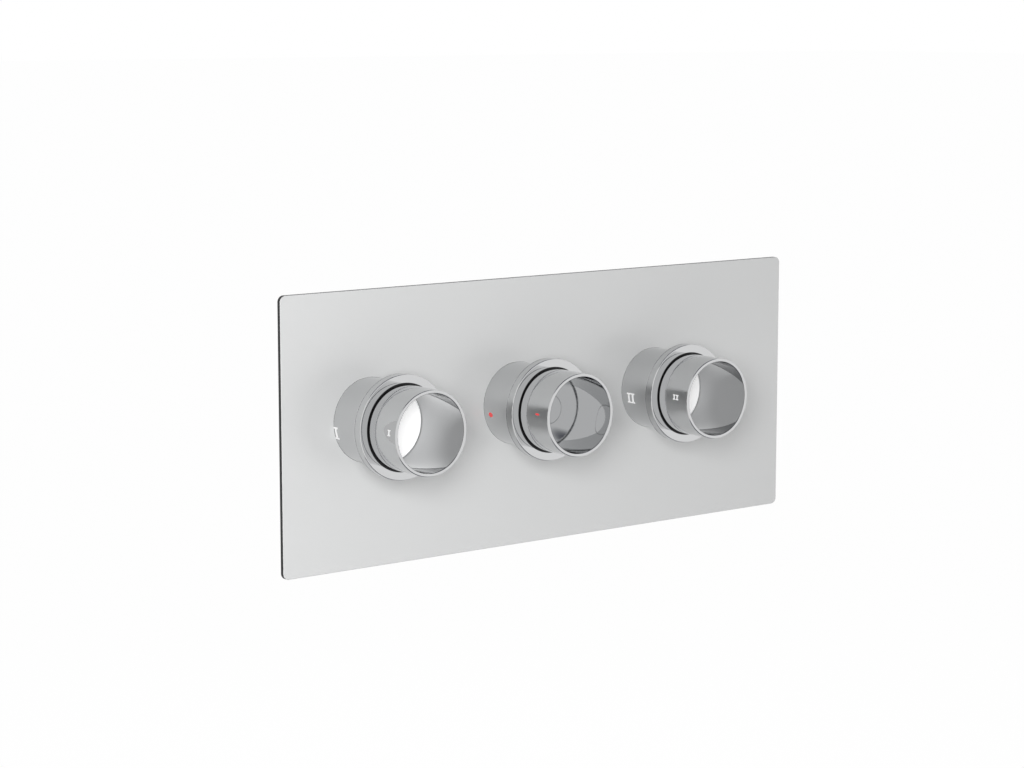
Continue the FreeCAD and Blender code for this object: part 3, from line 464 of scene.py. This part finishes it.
def inlay(name, outline, x, radius, reach, angle, material):
    # outline: (along the axis, round the surface) pairs, wrapped on a cylinder at an angle in degrees
    flat = bmesh.new()
    flat.faces.new([flat.verts.new((along, up, 0)) for along, up in outline])
    low = min(up for _, up in outline)
    high = max(up for _, up in outline)
    for step in range(1, marks["cuts"]):
        level = low + (high - low) * step / marks["cuts"]
        everything = flat.verts[:] + flat.edges[:] + flat.faces[:]
        bmesh.ops.bisect_plane(flat, geom=everything, plane_co=(0, level, 0), plane_no=(0, 1, 0))
    sheet = [[(spot.co.x, spot.co.y) for spot in face.verts] for face in flat.faces]
    edges = [[(spot.co.x, spot.co.y) for spot in edge.verts] for edge in flat.edges if edge.is_boundary]
    flat.free()

    def wrapped(spot, lift):
        turn = math.radians(angle) - spot[1] / radius
        size = radius + lift
        return (x + size * math.cos(turn), -reach - spot[0], rise + size * math.sin(turn))

    solid = bmesh.new()
    top, bottom = marks["proud"], -marks["sunk"]
    for face in sheet:
        solid.faces.new([solid.verts.new(wrapped(spot, top)) for spot in face])
        solid.faces.new([solid.verts.new(wrapped(spot, bottom)) for spot in face[::-1]])
    for first, second in edges:
        corners = [wrapped(first, top), wrapped(second, top), wrapped(second, bottom), wrapped(first, bottom)]
        solid.faces.new([solid.verts.new(corner) for corner in corners])
    bmesh.ops.remove_doubles(solid, verts=solid.verts, dist=marks["weld"])
    bmesh.ops.recalc_face_normals(solid, faces=solid.faces)
    vertices = [spot.co[:] for spot in solid.verts]
    faces = [[spot.index for spot in face.verts] for face in solid.faces]
    solid.free()
    return newPiece(name, vertices, faces, material)


def stroke(stem, serif, height, foot):
    # outline of one upright stroke with a short bar at its top and bottom
    half, wide, top = stem / 2, serif / 2, height / 2
    bar = top - foot
    neck = bar - marks["taper"]
    return [(-wide, -top), (wide, -top), (wide, -bar), (half, -neck), (half, neck), (wide, bar),
            (wide, top), (-wide, top), (-wide, bar), (-half, neck), (-half, -neck), (-wide, -bar)]


def disc(width, height, count=24):
    turns = [2 * math.pi * step / count for step in range(count)]
    return [(width / 2 * math.cos(turn), height / 2 * math.sin(turn)) for turn in turns]


# name, outline, control, what carries the mark, reach, angle, fill
markRows = [
    ("leftNumeral", stroke(1.5, 3.4, 6.0, 0.7), "left_flow", sleeve, 3.6, 192, white),
    ("rightNumeralFirst", stroke(1.3, 2.9, 5.2, 0.6), "right_flow", sleeve, 7.7, 188.7, white),
    ("rightNumeralSecond", stroke(1.3, 2.9, 5.2, 0.6), "right_flow", sleeve, 10.7, 188.7, white),
    ("middleDot", disc(3.1, 2.4), "temperature", sleeve, 7.4, 189.7, red),
    ("leftIndex", stroke(0.9, 2.2, 2.8, 0.4), "left_flow", knob, 46.6, 175.4, white),
    ("rightIndexFirst", stroke(0.8, 1.9, 2.6, 0.4), "right_flow", knob, 42.1, 175.8, white),
    ("rightIndexSecond", stroke(0.8, 1.9, 2.6, 0.4), "right_flow", knob, 44.3, 175.8, white),
    ("middleIndex", disc(3.1, 1.0), "temperature", knob, 43.9, 176, red),
]
for name, outline, side, base, reach, angle, fill in markRows:
    piece = inlay(name, outline, controls[side], base["radius"], reach, angle, fill)
    keep(piece, "valve" if base is sleeve else bodyOf[side])
print("marks made:", len(markRows))

# ridges that wind up an axis; "weld" is in metres
thread = {"pitch": 1.814, "flank": 1.5, "crest": 0.25, "steps": 64, "weld": 1e-7}


def threadTree():
    tree = bpy.data.node_groups.new("threadRidge", "GeometryNodeTree")
    face = tree.interface
    face.new_socket("Geometry", in_out="INPUT", socket_type="NodeSocketGeometry")
    identifiers = {}
    for name in ("Radius", "Ridge", "Pitch", "Turns", "Flank", "Crest", "Material"):
        kind = "NodeSocketMaterial" if name == "Material" else "NodeSocketFloat"
        identifiers[name] = face.new_socket(name, in_out="INPUT", socket_type=kind).identifier
    face.new_socket("Geometry", in_out="OUTPUT", socket_type="NodeSocketGeometry")
    ridge = Finish(tree)
    given = {name: ridge.node("NodeGroupInput", output=name) for name in identifiers}
    helix = ridge.node("GeometryNodeCurveSpiral", None, {
        "Resolution": thread["steps"], "Rotations": given["Turns"], "Start Radius": given["Radius"],
        "End Radius": given["Radius"], "Height": given["Pitch"] * given["Turns"]})
    level = ridge.node("GeometryNodeSetCurveNormal", {"mode": "Z_UP"}, {"Curve": helix})
    shape = ridge.node("GeometryNodeCurvePrimitiveQuadrilateral", {"mode": "TRAPEZOID"}, {
        "Bottom Width": given["Flank"], "Top Width": given["Crest"], "Height": given["Ridge"], "Offset": 0.0})
    upright = ridge.node("GeometryNodeTransform", None, {
        "Geometry": shape, "Rotation": (0, 0, math.radians(-90))})
    swept = ridge.node("GeometryNodeCurveToMesh", None, {
        "Curve": level, "Profile Curve": upright, "Fill Caps": True})
    real = ridge.node("GeometryNodeRealizeInstances", None, {0: swept})
    painted = ridge.node("GeometryNodeSetMaterial", None, {"Geometry": real, "Material": given["Material"]})
    ridge.node("NodeGroupOutput", None, {0: painted})
    return tree, identifiers


ridgeTree, ridgeSockets = threadTree()


def makeThread(name, spot, bottom, radius, turns, height, material):
    # the ridge is height high, half of it to either side of the radius
    maker = bpy.data.objects.new(name + "Start", bpy.data.meshes.new(name + "Start"))
    bpy.context.scene.collection.objects.link(maker)
    modifier = maker.modifiers.new("ridge", "NODES")
    modifier.node_group = ridgeTree
    values = {"Radius": radius * mm, "Ridge": height * mm, "Pitch": thread["pitch"] * mm,
              "Turns": float(turns), "Flank": thread["flank"] * mm, "Crest": thread["crest"] * mm,
              "Material": material}
    for socket, value in values.items():
        modifier[ridgeSockets[socket]] = value
    graph = bpy.context.evaluated_depsgraph_get()
    mesh = bpy.data.meshes.new_from_object(maker.evaluated_get(graph))
    bpy.data.objects.remove(maker)
    work = bmesh.new()
    work.from_mesh(mesh)
    bmesh.ops.translate(work, verts=work.verts, vec=Vector((spot[0], spot[1], bottom)) * mm)
    bmesh.ops.remove_doubles(work, verts=work.verts, dist=thread["weld"])
    bmesh.ops.recalc_face_normals(work, faces=work.faces)
    work.to_mesh(mesh)
    work.free()
    piece = bpy.data.objects.new(name, mesh)
    bpy.context.scene.collection.objects.link(piece)
    return piece


inlets = {"hot": -62.75, "cold": 24.15}  # along X
union = {"depth": 20, "mouth": -45, "bore": 7, "boreEdge": 0.4, "core": 9.33, "chamfer": 0.6,
         "threadEnd": -16, "flats": 24, "hexThick": 4, "hexBevel": 0.9, "hexInset": 0.2, "gap": 0.2,
         "gapEdge": 0.1, "spigot": 9.27, "spigotTop": 5, "spigotEdge": 0.3, "turns": 144, "steps": 3}
unionThread = {"radius": 9.3, "start": 1.0, "turns": 5.4, "height": 1.1}
outlet = {"depth": 21.18, "top": 50}
outletThread = {"radius": 10.5, "drop": 12.6, "turns": 6, "height": 0}  # a flat band in the bore's wall

for side, x in inlets.items():
    spot = (x, union["depth"], union["mouth"])
    flats = union["flats"]
    corner = flats / 2 / math.cos(math.pi / 6)
    piece = lathe(side + "Union", [
        (union["bore"], union["threadEnd"], union["boreEdge"]),
        (union["core"] - union["chamfer"], union["threadEnd"], 0),
        (union["core"], union["threadEnd"] + union["chamfer"], 0),
        (union["core"], -union["hexThick"] - union["gap"], union["gapEdge"]),
        (flats / 2 - union["hexInset"], -union["hexThick"], 0, flats),
        (corner, -union["hexThick"] + union["hexBevel"], 0, flats), (corner, -union["hexBevel"], 0, flats),
        (flats / 2 - union["hexInset"], 0, 0, flats), (union["spigot"], 0, 0),
        (union["spigot"], union["spigotTop"], union["spigotEdge"]),
        (union["bore"], union["spigotTop"], union["spigotEdge"])],
        spot, finishes["brass"], upright=True, turns=union["turns"], steps=union["steps"])
    ridge = makeThread(side + "UnionThread", spot, union["mouth"] + union["threadEnd"] + unionThread["start"],
                       unionThread["radius"], unionThread["turns"], unionThread["height"], finishes["brass"])
    keep(piece, "valve", side + "_inlet_union")
    keep(ridge, "valve", side + "_inlet_union")

for side in ("left", "right"):
    spot = (controls[side + "_flow"], outlet["depth"], outlet["top"])
    ridge = makeThread(side + "OutletThread", spot, outlet["top"] - outletThread["drop"],
                       outletThread["radius"], outletThread["turns"], outletThread["height"], casting)
    keep(ridge, "valve")
print("threads made")

# floor and its half width in metres; "plain" is the camera's share of flat white on the floor;
# "wallFrom", "darkFrom" and "darkTo" are parts of a direction of length 1
studio = {"floor": -0.45, "half": 30, "plain": 0.985, "fill": 0.4, "wallFrom": 0.02, "darkFrom": 0.7,
          "darkTo": 0.82}
half = studio["half"]
floorMesh = bpy.data.meshes.new("floor")
floorMesh.from_pydata([(x, y, studio["floor"]) for x, y in ((-half, -half), (half, -half), (half, half),
                                                            (-half, half))], [], [(0, 1, 2, 3)])
floor = bpy.data.objects.new("floor", floorMesh)
bpy.context.scene.collection.objects.link(floor)
floor.visible_glossy = False  # metal shows the plain background below it too

paper = bpy.data.materials.new("paleFloor")
paper.use_nodes = True
paper.node_tree.nodes.clear()
ground = Finish(paper.node_tree)
seenFloor = ground.node("ShaderNodeLightPath", output="Is Camera Ray")
matt = ground.node("ShaderNodeBsdfDiffuse", None, {"Color": (0.86, 0.86, 0.86, 1)})
plain = ground.node("ShaderNodeEmission", None, {"Color": (1, 1, 1, 1), "Strength": 1.0})
blend = ground.node("ShaderNodeMixShader", None, {0: seenFloor * studio["plain"], 1: matt, 2: plain})
ground.node("ShaderNodeOutputMaterial", None, {"Surface": blend})
floorMesh.materials.append(paper)

world = bpy.data.worlds.new("studio")
bpy.context.scene.world = world
world.use_nodes = True
world.node_tree.nodes.clear()
sky = Finish(world.node_tree)
direction = sky.node("ShaderNodeTexCoord", output="Generated")
onward = sky.node("ShaderNodeSeparateXYZ", None, {"Vector": direction}, output="Y")
upward = sky.node("ShaderNodeSeparateXYZ", None, {"Vector": direction}, output="Z")
# metal sees a pale wall behind the plate, and a dark ceiling and ground
wall = sky.maths("GREATER_THAN", onward, studio["wallFrom"])
around = sky.mix(wall, (1, 1, 1, 1), (0.66, 0.66, 0.66, 1))
steep = sky.node("ShaderNodeMapRange", {"interpolation_type": "SMOOTHSTEP"}, {
    "Value": sky.maths("ABSOLUTE", upward), "From Min": studio["darkFrom"], "From Max": studio["darkTo"]})
shown = sky.mix(steep, around, (0.09, 0.095, 0.125, 1))
soft = sky.node("ShaderNodeBackground", None, {"Color": (1, 1, 1, 1), "Strength": studio["fill"]})
mirrored = sky.node("ShaderNodeBackground", None, {"Color": shown, "Strength": 1.0})
backdrop = sky.node("ShaderNodeBackground", None, {"Color": (1, 1, 1, 1), "Strength": 1.0})
glossy = sky.node("ShaderNodeLightPath", output="Is Glossy Ray")
lit = sky.node("ShaderNodeMixShader", None, {0: glossy, 1: soft, 2: mirrored})
seenSky = sky.node("ShaderNodeLightPath", output="Is Camera Ray")
through = sky.node("ShaderNodeLightPath", output="Is Transmission Ray")
both = sky.node("ShaderNodeMixShader", None, {0: seenSky + through, 1: lit, 2: backdrop})
sky.node("ShaderNodeOutputWorld", None, {"Surface": both})


def addLamp(name, place, aim, size, power):  # places and size in metres
    light = bpy.data.lights.new(name, "AREA")
    light.shape = "SQUARE"
    light.size = size
    light.energy = power
    lamp = bpy.data.objects.new(name, light)
    lamp.location = place
    lamp.visible_glossy = False
    lamp.rotation_euler = (Vector(aim) - Vector(place)).to_track_quat("-Z", "Y").to_euler()
    bpy.context.scene.collection.objects.link(lamp)


# the key stands beside the camera, so that the shadows hide behind the controls
addLamp("keySoftbox", (-0.64, -0.75, 0.22), (-0.05, 0, 0.02), 0.28, 7.8)
addLamp("backSoftbox", (0.5, 0.95, 0.45), (0, 0.03, 0), 0.6, 7)

view = {"place": (-0.7686, -0.9781, 0.1937), "yaw": 37.403, "pitch": -8.324, "lens": 89.45, "sensor": 36,
        "near": 0.01, "far": 100}  # place, near and far in metres
lens = bpy.data.cameras.new("camera")
lens.lens = view["lens"]
lens.sensor_width = view["sensor"]
lens.clip_start = view["near"]
lens.clip_end = view["far"]
camera = bpy.data.objects.new("camera", lens)
camera.location = view["place"]
yaw, pitch = math.radians(view["yaw"]), math.radians(view["pitch"])
forward = Vector((math.sin(yaw) * math.cos(pitch), math.cos(yaw) * math.cos(pitch), math.sin(pitch)))
camera.rotation_euler = forward.to_track_quat("-Z", "Y").to_euler()
bpy.context.scene.collection.objects.link(camera)
bpy.context.scene.camera = camera
bpy.context.scene.view_settings.view_transform = "Standard"
print("studio ready")
